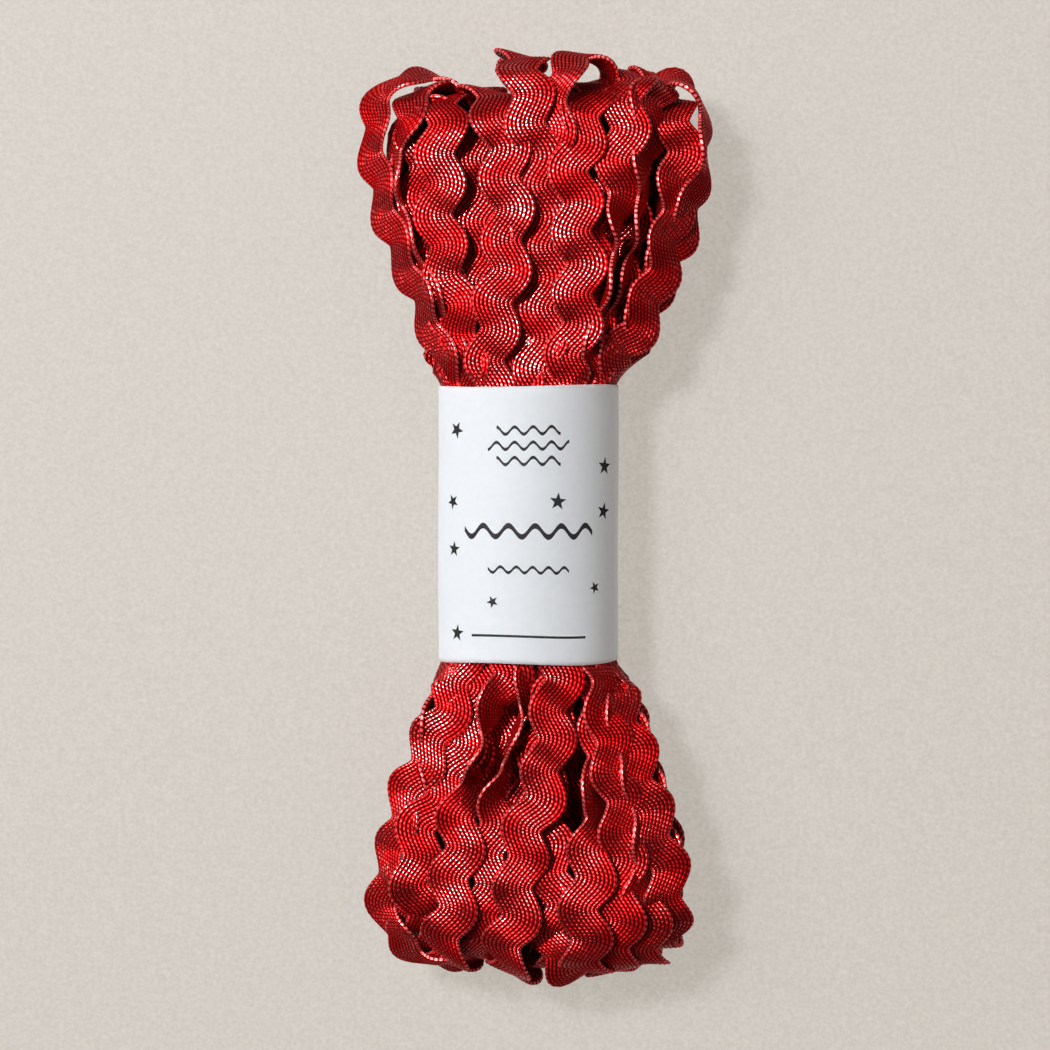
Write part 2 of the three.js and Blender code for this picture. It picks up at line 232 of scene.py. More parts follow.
# %% Close the flanks
FLANK_LAYERS = [
    {"layer": 6.8, "lift": 0.25, "belly": 21.0},
    {"layer": 12.0, "lift": -0.1, "belly": 22.0},
    {"layer": 17.0, "lift": -0.45, "belly": 20.5},
]


def flank_loops(way, seed):
    """Loops on edge down both sides of one fan."""
    random = np.random.default_rng(seed)
    loops = []
    for row in FLANK_LAYERS:
        for side in (-1, 1):
            belly = side * (row["belly"] + random.uniform(-0.6, 0.6))
            lean = side * random.uniform(62, 78)
            front = [(side * 12.0, way * 26, row["layer"] * 0.8, lean),
                     (side * 16.5, way * 36, row["layer"], lean),
                     (belly * 0.95, way * 48, row["layer"], lean),
                     (belly, way * 60, row["layer"], lean)]
            loops.append({
                "front": front, "tip": (belly * 0.75, way * (FAN_REACH + random.uniform(-1.5, 1.5))),
                "back": (belly * 0.35, side * 4.0, row["lift"]), "face": 0.05,
                "crest": way * random.uniform(40, 50)})
    return loops


upper_flanks = flank_loops(1, seed=31)
lower_flanks = flank_loops(-1, seed=32)
print("loops at the flanks of each fan:", len(upper_flanks))

# %% [markdown]
# ## The dome of a fan
# Seen from its end, a fan is an oval: as tight as the paper at the waist, then opening fast where
# the braid springs free. Every front strand takes its height from this dome, and lower layers lie
# on smaller ones, so a row of the table needs only x, y and a layer.

# %% Shape the dome
NECK_HALF_WIDTH, NECK_HALF_HEIGHT = 15.4, 10.9
BELLY_HALF_WIDTH, BELLY_HALF_HEIGHT = 31.0, 15.4
BELLY_Y = 64.0
SPRING = 1.5
LAYER = 1.35


def mix(start, end, share):
    return start + (end - start) * share


def opening(share):
    """How far the fan has opened from the waist, 0, to the belly, 1."""
    return 1 - (1 - share) ** SPRING


def dome(x, y):
    """How far across the fan a point is, -1 to 1, the height there and how far it has opened."""
    edge = np.where(y > 0, BAND_TOP / MM, -BAND_BOTTOM / MM)
    opened = opening(np.clip((np.abs(y) - edge) / (BELLY_Y - edge), 0, 1))
    half_width = mix(NECK_HALF_WIDTH, BELLY_HALF_WIDTH, opened)
    half_height = mix(NECK_HALF_HEIGHT, BELLY_HALF_HEIGHT, opened)
    across = (x - WAIST_X / MM * (1 - opened)) / half_width
    return across, half_height, opened


def roundness(across, least):
    """The height of a round dome at a place across it, with a least height at its edges."""
    return np.sqrt(np.maximum(least, 1 - across ** 2))


print("half height of the fan at the paper and at its belly, mm:", NECK_HALF_HEIGHT, BELLY_HALF_HEIGHT)

# %% [markdown]
# ## The two legs of a loop
# The front leg runs through the points of its row and starts a little way inside the band. The
# back leg is hardly seen, so one curve takes it from the waist to the cap.

# %% Lay the legs
TUCK = 6.0
FRONT_POINTS, BACK_POINTS, CAP_POINTS = 90, 80, 90


def distance_along(points):
    return np.concatenate([[0], np.cumsum(np.linalg.norm(np.diff(points, axis=0), axis=1))])


def front_leg(points, start_y):
    """Points of the front leg, how far along each is, its lean, and how far the fan has opened."""
    table = np.array(points, float)
    tucked = table[:1] * [1.0, 0.0, 1.0, 1.0] + [0.0, start_y, 0.0, 0.0]
    table = np.concatenate([tucked, table])
    along = distance_along(table[:, :2])
    share = np.linspace(0, 1, FRONT_POINTS, endpoint=False)
    x, y, layer, lean = (np.interp(share * along[-1], along, column) for column in table.T)
    across, half_height, opened = dome(x, y)
    z = WAIST_Z / MM + (half_height - LAYER * layer) * roundness(across, 0.12)
    return np.stack([x, y, z], 1), share, np.radians(lean), opened


def back_leg(waist, belly, lift, start_y, end_y):
    """Points of the back leg, how far along each is, and how far the fan has opened."""
    share = np.linspace(0, 1, BACK_POINTS, endpoint=False)
    x = WAIST_X / MM + waist + (belly - waist - WAIST_X / MM) * opening(share)
    y = mix(start_y, end_y, share)
    across, half_height, opened = dome(x, y)
    z = WAIST_Z / MM + lift * (half_height - 1.0) * roundness(across, 0.3) ** 0.5
    return np.stack([x, y, z], 1), share, opened


print("points on a loop before it is evened out:", FRONT_POINTS + CAP_POINTS + BACK_POINTS)

# %% [markdown]
# ## Which way the braid faces
# A flat braid can lie on its face or stand on its edge, so a middle line isn't enough: each point
# also needs a facing. On the legs the braid faces out of the dome. On the cap it faces outwards
# all round, or up where the cap lies flat. The undermost braid lies flat on the surface.

# %% Face the braid
SETTLE_BELOW, SETTLE_OVER = 2.6, 2.0
REST_GAP = 0.05


def unit(v):
    return v / np.linalg.norm(v, axis=-1, keepdims=True)


def cap_facing(angle, outward, face, way):
    flat = face * (1 - 0.4 * np.sin(angle))
    out = outward * np.cos(angle) + np.array([0, way, 0]) * np.sin(angle)
    return unit(out * (1 - flat) + np.array([0, 0, 1]) * flat)


def leg_facing(points, share, side, end_facing, turn_from):
    """Out of the dome on one side, turning smoothly into the facing of the cap."""
    across = dome(points[:, 0], points[:, 1])[0]
    out = unit(np.stack([0.5 * across, np.zeros(len(share)), side * roundness(across, 0.2)], 1))
    t = np.clip((share - turn_from) / (1 - turn_from), 0, 1)[:, None]
    t = t * t * (3 - 2 * t)
    return unit(out * (1 - t) + end_facing * t)


def settle(points, facings):
    """Lays the undermost braid flat on the surface, and keeps all of it above."""
    height = points[:, 2:]
    near = np.clip((SETTLE_BELOW - height) / SETTLE_OVER, 0, 1) * (facings[:, 2:] < 0)
    points[:, 2:] = np.maximum(height, BRAID_THICKNESS / MM / 2 + REST_GAP)
    return unit(facings * (1 - near) + np.array([0, 0, -1]) * near)


print("middle of the undermost braid, mm above the surface:", round(BRAID_THICKNESS / MM / 2 + REST_GAP, 2))

# %% [markdown]
# ## From a row to a rail
# A rail is the middle line of the braid with its facings, in even steps. The joins between legs
# and cap are softened, because braid can't hold a corner. A slow wander in place and in roll is
# added last. It fades out at the paper, where nothing can move.

# %% Turn a row into a rail
RAIL_STEP = 1.0
SOFT_CORNER, SOFT_FACING = 2.5, 4.0
NECK_ROLL = math.radians(10)
ROLL_WANDER = 11.0


def even_out(values, along, even):
    """The same columns at even steps along the line."""
    return np.stack([np.interp(even, along, column) for column in values.T], 1)


def smooth(values, sigma):
    """A running average along a rail, with its ends held."""
    reach = int(3 * sigma / RAIL_STEP)
    weights = np.exp(-0.5 * (np.arange(-reach, reach + 1) * RAIL_STEP / sigma) ** 2)
    weights /= weights.sum()
    padded = np.concatenate([
        2 * values[:1] - values[reach:0:-1], values, 2 * values[-1:] - values[-2:-reach - 2:-1]])
    return np.stack([np.convolve(column, weights, "valid") for column in padded.T], 1)


def wander(length, random, size):
    """Slow drift along a line that is nothing at both ends."""
    t = np.linspace(0, 1, length)
    drift = sum(
        random.uniform(-1, 1) * np.sin(2 * math.pi * (k * t + random.uniform(0, 1)))
        for k in (1.5, 2.6, 4.1))
    return size * drift * np.sin(math.pi * t) ** 0.6


def loop_outline(loop, way):
    """The whole loop before it is softened: points, facings, leans and how tight the neck is."""
    tip_x, tip_y = loop["tip"]
    belly, waist, lift = loop["back"]
    start_y = BAND_TOP / MM - TUCK if way > 0 else BAND_BOTTOM / MM + TUCK
    end_y = loop["front"][-1][1]
    front, front_share, front_lean, front_opened = front_leg(loop["front"], start_y)
    back, back_share, back_opened = back_leg(waist, belly, lift, start_y, end_y)

    angle = np.linspace(0, math.pi, CAP_POINTS)[:, None]
    middle, chord = (front[-1] + back[-1]) / 2, (front[-1] - back[-1]) / 2
    cap = middle + chord * np.cos(angle)
    cap[:, :1] += (tip_x - middle[0]) * np.sin(angle)
    cap[:, 1:2] += way * abs(tip_y - end_y) * np.sin(angle)

    on_cap = cap_facing(angle, unit(chord), loop["face"], way)
    facings = np.concatenate([
        leg_facing(front, front_share, 1.0, on_cap[:1], 0.75), on_cap,
        leg_facing(back, back_share, math.copysign(1, lift), on_cap[-1:], 0.4)[::-1]])
    lean = np.concatenate([
        front_lean, front_lean[-1] * (1 + np.cos(angle[:, 0])) / 2, np.zeros(len(back))])
    neck = np.concatenate([1 - front_opened, np.zeros(len(cap)), (1 - back_opened)[::-1]])
    return np.concatenate([front, cap, back[::-1]]), facings, lean, neck


def loop_rail(loop, random, wander_size):
    """A loop's points and facings, and how far along the braid's wave each point is."""
    way = math.copysign(1, loop["tip"][1])
    points, facings, lean, neck = loop_outline(loop, way)
    along = distance_along(points)
    even = np.arange(0, along[-1], RAIL_STEP)
    lean, neck = np.interp(even, along, lean), np.interp(even, along, neck)
    points = smooth(even_out(points, along, even), SOFT_CORNER)
    facings = unit(smooth(even_out(facings, along, even), SOFT_FACING))
    tangents = unit(np.gradient(points, axis=0))
    sides = unit(np.cross(facings, tangents))
    facings = np.cross(tangents, sides)
    points = points + sides * wander(len(points), random, wander_size)[:, None]
    points = points + facings * wander(len(points), random, wander_size * 0.7)[:, None]
    roll = NECK_ROLL * neck * np.sign(facings[:, 2]) - way * lean
    roll = roll + np.radians(wander(len(points), random, ROLL_WANDER))
    facings = facings * np.cos(roll)[:, None] + sides * np.sin(roll)[:, None]
    facings = settle(points, facings)
    tangents = unit(np.gradient(points, axis=0))
    facings = unit(facings - tangents * np.sum(facings * tangents, axis=1, keepdims=True))
    travel = distance_along(points)
    crest = travel[np.argmax(np.abs(points[:, 1]) > abs(loop["crest"]))]
    # The wave's side points left on the upper front legs and right on the lower ones.
    return points * MM, facings, travel * MM - crest * MM - way * WAVE_LENGTH / 4


trial_rail = loop_rail(UPPER_LOOPS[0], np.random.default_rng(0), 0.0)[0]
print("braid in the first upper loop, mm:", round(distance_along(trial_rail)[-1] / MM))

# %% [markdown]
# ## Rails as a mesh
# Geometry Nodes can read a mesh of bare edges as curves. Each of its points carries what the
# braid needs later: its facing, how far along the wave it is, and a number for its strand.

# %% Keep the rails as a mesh
def put(name, data):
    """A new object in the scene."""
    thing = bpy.data.objects.new(name, data)
    bpy.context.scene.collection.objects.link(thing)
    return thing


def store(mesh, name, values):
    """Keeps a number or a vector for each point of a mesh under a name."""
    kind, label = ("FLOAT_VECTOR", "vector") if values.ndim == 2 else ("FLOAT", "value")
    attribute = mesh.attributes.new(name, kind, "POINT")
    attribute.data.foreach_set(label, values.astype(np.float32).ravel())


def rails_object(name, loops, seed, wander_size):
    random = np.random.default_rng(seed)
    points, facings, travels, strands, edges = [], [], [], [], []
    for loop in loops:
        p, n, t = loop_rail(loop, random, wander_size)
        first = sum(len(q) for q in points)
        edges += [(first + i, first + i + 1) for i in range(len(p) - 1)]
        points.append(p)
        facings.append(n)
        travels.append(t)
        strands.append(np.full(len(p), random.uniform(0, 1)))
    mesh = bpy.data.meshes.new(name)
    mesh.from_pydata(np.concatenate(points).tolist(), edges, [])
    store(mesh, "facing", np.concatenate(facings))
    store(mesh, "travel", np.concatenate(travels))
    store(mesh, "strand", np.concatenate(strands))
    print(name, "rails:", len(loops), "points:", len(mesh.vertices))
    return put(name, mesh)


# %% [markdown]
# ## Building node trees by hand
# Both the braid's shape and its finish are node trees. A few small helpers keep their scripts
# short: they add a node with its settings and inputs, send a geometry through a node, and
# declare a tree with its named inputs. *Maths* lets math nodes be written as a formula.

# %% Helpers for node trees
def fill(tree, sockets, values):
    """Sets the sockets of a node to values, or links them to other nodes."""
    for label, value in values.items():
        if isinstance(value, bpy.types.NodeSocket):
            tree.links.new(value, sockets[label])
        else:
            sockets[label].default_value = value


def add_node(tree, kind, inputs=None, **settings):
    """A node with its settings made and its inputs filled."""
    node = tree.nodes.new(kind)
    for key, value in settings.items():
        setattr(node, key, value)
    fill(tree, node.inputs, inputs or {})
    return node


def send(tree, geometry, kind, inputs=None, **settings):
    """Sends a geometry through one more node."""
    return add_node(tree, "GeometryNode" + kind, {0: geometry, **(inputs or {})}, **settings).outputs[0]


class Maths:
    """Math nodes of one tree: Maths(tree).sine(x) adds a sine node and gives its output."""

    def __init__(self, tree):
        self.tree = tree

    def __getattr__(self, operation):
        return lambda *values: add_node(
            self.tree, "ShaderNodeMath", dict(enumerate(values)), operation=operation.upper()).outputs[0]


def new_tree(name, kind, inputs, outputs):
    """A node group with named inputs and outputs, its maths, its inputs and its output node."""
    tree = bpy.data.node_groups.new(name, kind)
    for label, socket_type, value in inputs:
        socket = tree.interface.new_socket(label, in_out="INPUT", socket_type=socket_type)
        if value is not None:
            socket.default_value = value
    for label, socket_type in outputs:
        tree.interface.new_socket(label, in_out="OUTPUT", socket_type=socket_type)
    given = tree.nodes.new("NodeGroupInput").outputs
    return tree, Maths(tree), given, tree.nodes.new("NodeGroupOutput")


FLOAT, INTEGER, GEOMETRY = "NodeSocketFloat", "NodeSocketInt", "NodeSocketGeometry"

# %% [markdown]
# ## The section of the braid
# Cut across, the braid is flat and thin, with one ridge for each thread on both faces. A curve
# circle has its points in order, so their numbers place them: the first half runs over the front
# and the second half comes back over the other face. Every second point sinks into a valley.

# %% Nodes for the section
def braid_section(tree, m, given):
    points = m.multiply_add(given["Threads"], 4.0, 2.0)
    face_points = m.divide(points, 2.0)
    circle = add_node(tree, "GeometryNodeCurvePrimitiveCircle", {"Resolution": points})
    index = tree.nodes.new("GeometryNodeInputIndex").outputs[0]
    back = m.greater_than(index, m.subtract(face_points, 0.5))
    count = m.subtract(index, m.multiply(back, face_points))
    sign = m.multiply_add(back, -2.0, 1.0)
    share = m.divide(count, m.subtract(face_points, 1.0))
    centred = m.multiply(m.multiply_add(share, 2.0, -1.0), sign)
    across = m.multiply(centred, m.divide(given["Braid Width"], 2.0))
    round_edge = m.sqrt(m.multiply_add(m.power(m.absolute(centred), 4.0), -0.75, 1.0))
    body = m.multiply(round_edge, m.divide(given["Braid Thickness"], 2.0))
    valley = m.subtract(1.0, m.modulo(count, 2.0))
    surface = m.subtract(body, m.multiply(valley, given["Ridge Height"]))
    place = add_node(tree, "ShaderNodeCombineXYZ", {"X": m.multiply(surface, sign), "Y": across})
    section = send(tree, circle.outputs["Curve"], "SetPosition", {"Position": place.outputs[0]})
    return send(tree, section, "StoreNamedAttribute", {"Name": "across", "Value": across}, data_type="FLOAT")


# %% [markdown]
# ## The wave of the braid
# If the section simply slid from side to side, the braid would thin out on the slopes. If it
# turned with the wave, its threads would cross inside each bend. Real ric rac does something
# between the two, which is what *Turn* sets: it rounds the peaks and sharpens the notches. The
# pull of the threads also rocks the braid a little at every bend, which is *Buckle*, and raises
# it there, which is *Lift*. So each point moves sideways, ahead and out of the braid's face.

# %% Nodes for the wave
BUCKLE_LAG = 0.6


def named(tree, label, data_type="FLOAT"):
    return add_node(tree, "GeometryNodeInputNamedAttribute", {"Name": label}, data_type=data_type).outputs[0]


def vector_node(tree, operation, inputs):
    return add_node(tree, "ShaderNodeVectorMath", inputs, operation=operation).outputs[0]


def wave_offset(tree, m, given):
    across = named(tree, "across")
    rate = m.divide(2 * math.pi, given["Wave Length"])
    angle = m.multiply(named(tree, "travel"), rate)
    swing = m.multiply(m.sine(angle), given["Wave Swing"])
    turned = m.arctangent(m.multiply(m.multiply(given["Wave Swing"], rate), m.cosine(angle)))
    lever = m.multiply(across, given["Turn"])
    rock = m.multiply(m.multiply(across, given["Buckle"]), m.cosine(m.subtract(angle, BUCKLE_LAG)))
    moves = {
        "sideways": m.multiply_add(lever, m.subtract(m.cosine(turned), 1.0), swing),
        "ahead": m.multiply(m.multiply(lever, -1.0), m.sine(turned)),
        "facing": m.multiply_add(given["Lift"], m.sine(m.multiply(angle, 2.0)), rock)}
    offset = (0, 0, 0)
    for label, amount in moves.items():
        move = vector_node(tree, "SCALE", {0: named(tree, label, "FLOAT_VECTOR"), "Scale": amount})
        offset = vector_node(tree, "ADD", {0: offset, 1: move})
    return offset


# %% [markdown]
# ## The braid as a Geometry Nodes tree
# A zigzag braid follows a rule, so nodes make it. The rail is cut into even steps that keep their
# own directions, the section is swept along it, and then the wave is laid over the result.

# %% Build the braid tree
def build_braid_tree():
    tree, m, given, result = new_tree("Ric rac braid", "GeometryNodeTree", [
        ("Rails", GEOMETRY, None),
        ("Braid Width", FLOAT, BRAID_WIDTH),
        ("Braid Thickness", FLOAT, BRAID_THICKNESS),
        ("Threads", INTEGER, THREADS),
        ("Ridge Height", FLOAT, 0.13 * MM),
        ("Wave Length", FLOAT, WAVE_LENGTH),
        ("Wave Swing", FLOAT, 1.25 * MM),
        ("Turn", FLOAT, 0.5),
        ("Buckle", FLOAT, 0.13),
        ("Lift", FLOAT, 0.12 * MM),
        ("Step", FLOAT, 0.7 * MM),
        ("Material", "NodeSocketMaterial", None),
    ], [("Braid", GEOMETRY)])
    facing = named(tree, "facing", "FLOAT_VECTOR")
    rail = send(tree, given["Rails"], "MeshToCurve")
    rail = send(tree, rail, "ResampleCurve", {"Length": given["Step"]}, mode="LENGTH")
    rail = send(tree, rail, "SetCurveNormal", {"Normal": facing}, mode="FREE")
    tangent = tree.nodes.new("GeometryNodeInputTangent").outputs[0]
    side = vector_node(tree, "CROSS_PRODUCT", {0: tangent, 1: facing})
    for label, vector in (("ahead", tangent), ("sideways", side)):
        rail = send(tree, rail, "StoreNamedAttribute", {
            "Name": label, "Value": vector}, data_type="FLOAT_VECTOR")
    section = braid_section(tree, m, given)
    braid = send(tree, rail, "CurveToMesh", {"Profile Curve": section, "Fill Caps": True})
    braid = send(tree, braid, "SetPosition", {"Offset": wave_offset(tree, m, given)})
    for label in ("sideways", "ahead", "facing"):
        braid = send(tree, braid, "RemoveAttribute", {"Name": label})
    braid = send(tree, braid, "SetShadeSmooth")
    braid = send(tree, braid, "RealizeInstances")
    braid = send(tree, braid, "SetMaterial", {"Material": given["Material"]})
    fill(tree, result.inputs, {"Braid": braid})
    return tree


braid_tree = build_braid_tree()
print("braid tree nodes:", len(braid_tree.nodes))

# %% [markdown]
# ## The pattern of the threads
# The threads are wrapped with a fine metallic film, so each shows a row of tiny beads. The
# pattern must follow the threads round every bend, so it reads the two measures that the sweep
# left on the surface: how far along the braid, and how far across. A chance for each bead picks
# the ones that flash, and a slow cloud makes the flashes come in bursts, as they do on real film.

# %% Build the thread pattern
THREAD_PITCH = BRAID_WIDTH / THREADS
BEAD_PITCH = 0.6 * MM
THREAD_SHIFT = 0.3
# How strong the painted highlight is: pale dots along both rims of the braid.
PAINTED_RIM_GLINT = 0.9


def measure(tree, label):
    """What was stored on a mesh under a name, for its finish."""
    return add_node(tree, "ShaderNodeAttribute", attribute_name=label).outputs["Fac"]


def build_thread_group():
    tree, m, given, result = new_tree("Wrapped threads", "ShaderNodeTree", [
        ("Thread Pitch", FLOAT, THREAD_PITCH),
        ("Bead Pitch", FLOAT, BEAD_PITCH),
        ("Sparkle Share", FLOAT, 0.30),
        ("Burst Length", FLOAT, 7.0 * MM),
        ("Rim", FLOAT, BRAID_WIDTH / 2 - 0.22 * MM),
    ], [(label, FLOAT) for label in ("Unshaded Crest", "Height", "Bead", "Sparkle", "Shade")])
    travel, across, strand = (measure(tree, label) for label in ("travel", "across", "strand"))

    # Where a point is within its thread and within its bead.
    thread = m.divide(across, given["Thread Pitch"])
    thread_number = m.floor(thread)
    bead = m.multiply_add(thread_number, THREAD_SHIFT, m.divide(travel, given["Bead Pitch"]))
    thread_wave = m.sine(m.multiply(m.fract(thread), math.pi))
    bead_wave = m.sine(m.multiply(m.fract(bead), math.pi))
    bead_top = m.multiply(thread_wave, bead_wave)

    # A chance for each bead, and bursts that are shared by the beads of a few millimetres.
    cell = add_node(tree, "ShaderNodeCombineXYZ", {
        "X": thread_number, "Y": m.floor(bead), "Z": m.multiply(strand, 97.0)})
    chance = add_node(tree, "ShaderNodeTexWhiteNoise", {
        "Vector": cell.outputs[0]}, noise_dimensions="3D").outputs["Value"]
    slow = add_node(tree, "ShaderNodeCombineXYZ", {
        "X": m.divide(travel, given["Burst Length"]), "Y": m.divide(across, given["Burst Length"]),
        "Z": m.multiply(strand, 53.0)})
    cloud = add_node(tree, "ShaderNodeTexNoise", {"Vector": slow.outputs[0], "Scale": 1.0, "Detail": 1.0})
    burst = add_node(tree, "ShaderNodeMapRange", {
        "Value": cloud.outputs["Fac"], "From Min": 0.38, "From Max": 0.62,
        "To Min": 0.3, "To Max": 1.5}).outputs[0]

    picked = m.less_than(chance, given["Sparkle Share"])
    flash = m.minimum(m.multiply(m.power(bead_top, 4.0), burst), 1.0)
    # Pale dots along both rims are a painted highlight, whatever way the rim faces.
    rim_glint_dots = m.multiply(m.greater_than(m.absolute(across), given["Rim"]), m.power(bead_wave, 2.0))
    swell = m.multiply(bead_wave, m.multiply_add(chance, 0.5, 0.1))
    fill(tree, result.inputs, {
        # This mask paints shade into the colour: 1 on the crests, falling to 0 in the valleys between
        # threads and partly between beads.
        "Unshaded Crest": m.multiply(thread_wave, m.multiply_add(bead_wave, 0.3, 0.7)),
        "Height": m.multiply(thread_wave, m.add(swell, 0.6)),
        "Bead": m.minimum(m.multiply(m.power(bead_top, 2.0), burst), 1.0),
        # Flashing film beads, and the painted highlight on the rims.
        "Sparkle": m.maximum(m.multiply(picked, flash), m.multiply(rim_glint_dots, PAINTED_RIM_GLINT)),
        "Shade": chance})
    return tree


thread_group = build_thread_group()
print("thread pattern nodes:", len(thread_group.nodes))

# %% [markdown]
# ## The finish of the braid
# Under the beads the red goes from bright on the crests to nearly black between the threads, and a
# little darker between the beads, which is painted shade in those valleys. The film on the beads is a
# paler, smoother metal, so it flashes white where it faces a light. Pale dots along the rims are a
# painted highlight. There is no clear coat, because it would lay a milky haze on the dark parts.

# %% Mix the braid's finish
# The deep red is painted shade for the valleys between threads and beads; the bright red is the braid's own
# red.
VALLEY_SHADE_RED = (0.018, 0.0001, 0.0003, 1)
BRIGHT_RED = (0.42, 0.001, 0.003, 1)
SPARKLE_PINK = (1.0, 0.17, 0.17, 1)
FILM_BASE, FILM_CHANCE = 0.05, 0.42
THREAD_ROUGHNESS, BEAD_ROUGHNESS = 0.50, 0.23
THREAD_METAL, BEAD_METAL = 0.35, 1.0
BEAD_RELIEF = 0.17 * MM


def color_mix(tree, share, first, second):
    return add_node(tree, "ShaderNodeMix", {0: share, 6: first, 7: second}, data_type="RGBA").outputs[2]


def new_finish(name):
    """A finish, its node tree, its maths and the inputs of its shader."""
    finish = bpy.data.materials.new(name)
    finish.use_nodes = True
    tree = finish.node_tree
    return finish, tree, Maths(tree), tree.nodes["Principled BSDF"].inputs


def braid_finish():
    finish, tree, m, shader = new_finish("Metallic red braid")
    threads = add_node(tree, "ShaderNodeGroup", node_tree=thread_group).outputs
    # The base red runs from the braid's own red on the crests into painted shade in the valleys.
    red = color_mix(tree, threads["Unshaded Crest"], VALLEY_SHADE_RED, BRIGHT_RED)
    # The pale colour is the film's metal tint on the beads, and painted highlight on the rims.
    film_and_rim_glint = m.maximum(threads["Sparkle"], m.multiply(
        threads["Bead"], m.multiply_add(threads["Shade"], FILM_CHANCE, FILM_BASE)))
    bump = add_node(tree, "ShaderNodeBump", {
        "Height": threads["Height"], "Strength": 1.0, "Distance": BEAD_RELIEF})
    fill(tree, shader, {
        "Base Color": color_mix(tree, film_and_rim_glint, red, SPARKLE_PINK),
        "Roughness": m.multiply_add(threads["Bead"], BEAD_ROUGHNESS - THREAD_ROUGHNESS, THREAD_ROUGHNESS),
        "Metallic": m.multiply_add(threads["Bead"], BEAD_METAL - THREAD_METAL, THREAD_METAL),
        "Normal": bump.outputs[0], "Specular IOR Level": 0.0})
    return finish


braid_red = braid_finish()
print("finish:", braid_red.name)

# %% [markdown]
# ## Sweeping the braid
# The tree runs as a modifier on a set of rails, and its result is kept as a plain mesh. A swept
# mesh can come out inside out, so the volume that it encloses is measured, which must be above 0.

# %% Sweep a set of rails
def socket_id(tree, label):
    return next(item.identifier for item in tree.interface.items_tree
                if item.name == label and item.in_out == "INPUT")


def sweep(rails, **inputs):
    modifier = rails.modifiers.new("Braid", "NODES")
    modifier.node_group = braid_tree
    modifier[socket_id(braid_tree, "Material")] = braid_red
    for label, value in inputs.items():
        modifier[socket_id(braid_tree, label.replace("_", " ").title())] = value
    depsgraph = bpy.context.evaluated_depsgraph_get()
    mesh = bpy.data.meshes.new_from_object(rails.evaluated_get(depsgraph))
    mesh.name = rails.name
    bpy.data.objects.remove(rails)
    return mesh


def places_of(mesh):
    co = np.empty(len(mesh.vertices) * 3, np.float32)
    mesh.vertices.foreach_get("co", co)
    return co.reshape(-1, 3)


def volume_of(mesh):
    """The volume that a mesh encloses, below 0 if it is inside out, and its triangles."""
    mesh.calc_loop_triangles()
    tris = np.empty(len(mesh.loop_triangles) * 3, np.int32)
    mesh.loop_triangles.foreach_get("vertices", tris)
    a, b, c = places_of(mesh)[tris.reshape(-1, 3)].transpose(1, 0, 2)
    return float(np.einsum("ij,ij->i", a, np.cross(b, c)).sum() / 6), len(tris) // 3


# %% [markdown]
# ## The pieces of braid
# Where braid passes under the paper, it is squeezed into the oval, and let go over the next few
# millimetres. The loops that show get every thread. The ones inside are only dark shapes, so a
# plainer section saves most of their faces.

# %% Make the pieces of braid
UNDER_PAPER = 0.35 * MM
RELEASE = 11 * MM


def squeeze_under_band(mesh):
    """Presses what is near the paper into its oval, and lets it go past the edges."""
    co = places_of(mesh)
    x = (co[:, 0] - WAIST_X) / (BAND_HALF_WIDTH - PAPER - UNDER_PAPER)
    z = (co[:, 2] - WAIST_Z) / (BAND_HALF_HEIGHT - PAPER - UNDER_PAPER)
    beyond = np.maximum(np.maximum(co[:, 1] - BAND_TOP, BAND_BOTTOM - co[:, 1]), 0)
    most = 1 + (beyond / RELEASE) ** 1.5
    squeeze = np.minimum(1, most / np.maximum(np.hypot(x, z), 1e-6))
    co[:, 0] = WAIST_X + (co[:, 0] - WAIST_X) * squeeze
    co[:, 2] = np.maximum(0.0, WAIST_Z + (co[:, 2] - WAIST_Z) * squeeze)
    mesh.vertices.foreach_set("co", co.ravel())
    mesh.update()


def braid_piece(name, loops, seed, wander_size, **inputs):
    mesh = sweep(rails_object(name, loops, seed, wander_size), **inputs)
    squeeze_under_band(mesh)
    if volume_of(mesh)[0] < 0:
        mesh.flip_normals()
    piece = put(name, mesh)
    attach(piece, "root")
    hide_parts("hank")
    print(name, "triangles:", volume_of(mesh)[1])


braid_piece("upper_left_loops", UPPER_LOOPS[:8], 21, 0.4)
braid_piece("upper_right_loops", UPPER_LOOPS[8:], 22, 0.4)
braid_piece("lower_left_loops", LOWER_LOOPS[:6], 23, 0.4)
braid_piece("lower_right_loops", LOWER_LOOPS[6:], 24, 0.4)
braid_piece("upper_flank_loops", upper_flanks, 27, 0.3)
braid_piece("lower_flank_loops", lower_flanks, 28, 0.3)
braid_piece("upper_inner_loops", upper_inner, 25, 0.6, threads=3, step=1.0 * MM)
braid_piece("lower_inner_loops", lower_inner, 26, 0.6, threads=3, step=1.0 * MM)

# %% [markdown]
# ## The paper band
# The band is one strip of paper wrapped round the waist and stuck to itself underneath. It is
# made as a thin wall round the same oval as the solid. Its two ends lap at the back, and its
# edges are not quite straight, because loops press against them.

# %% Wrap the paper
BAND_STEPS_ROUND = 220
BAND_STEPS_ALONG = 60
LAP = math.radians(34)
LAP_RAMP = 0.12
PRESS = 0.12 * MM
EDGE_WAVER = 0.25 * MM


def paper_round(angle):
    """How far round the oval an angle is from the middle of the front, in metres."""
    fine = np.linspace(-2 * math.pi, 3 * math.pi, 4000)
    speed = np.hypot(BAND_HALF_WIDTH * np.sin(fine), BAND_HALF_HEIGHT * np.cos(fine))
    length = np.concatenate([[0], np.cumsum((speed[1:] + speed[:-1]) / 2 * np.diff(fine))])
    return np.interp(math.pi / 2, fine, length) - np.interp(angle, fine, length)


